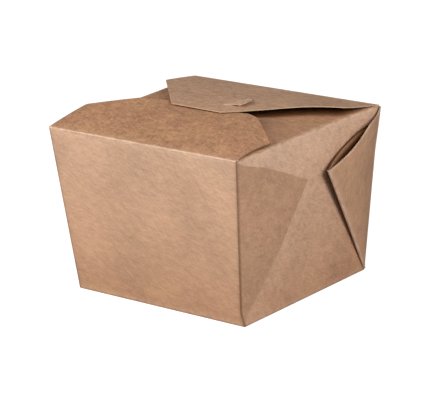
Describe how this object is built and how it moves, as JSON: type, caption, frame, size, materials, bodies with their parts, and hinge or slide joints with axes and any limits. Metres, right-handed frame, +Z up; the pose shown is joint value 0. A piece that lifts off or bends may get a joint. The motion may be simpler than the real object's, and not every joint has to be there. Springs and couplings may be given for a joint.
{
  "type": "folded takeaway carton",
  "caption": "Shut fold-top takeaway carton of plain brown board, tapered tub with folded corner webs and an overlapping lid held by a tucked tab.",
  "frame": {"origin": "middle of the flat bottom, which rests on the table", "axes": "+X along the front panel towards the side wall with the sprung web, -Y out of the front panel, +Z up"},
  "size_m": [0.1243, 0.1128, 0.0925],
  "materials": {
    "kraft_board": "uncoated matt brown board with fine fibres"
  },
  "bodies": {
    "root": {"folded_carton": "kraft_board"}
  },
  "joints": []
}
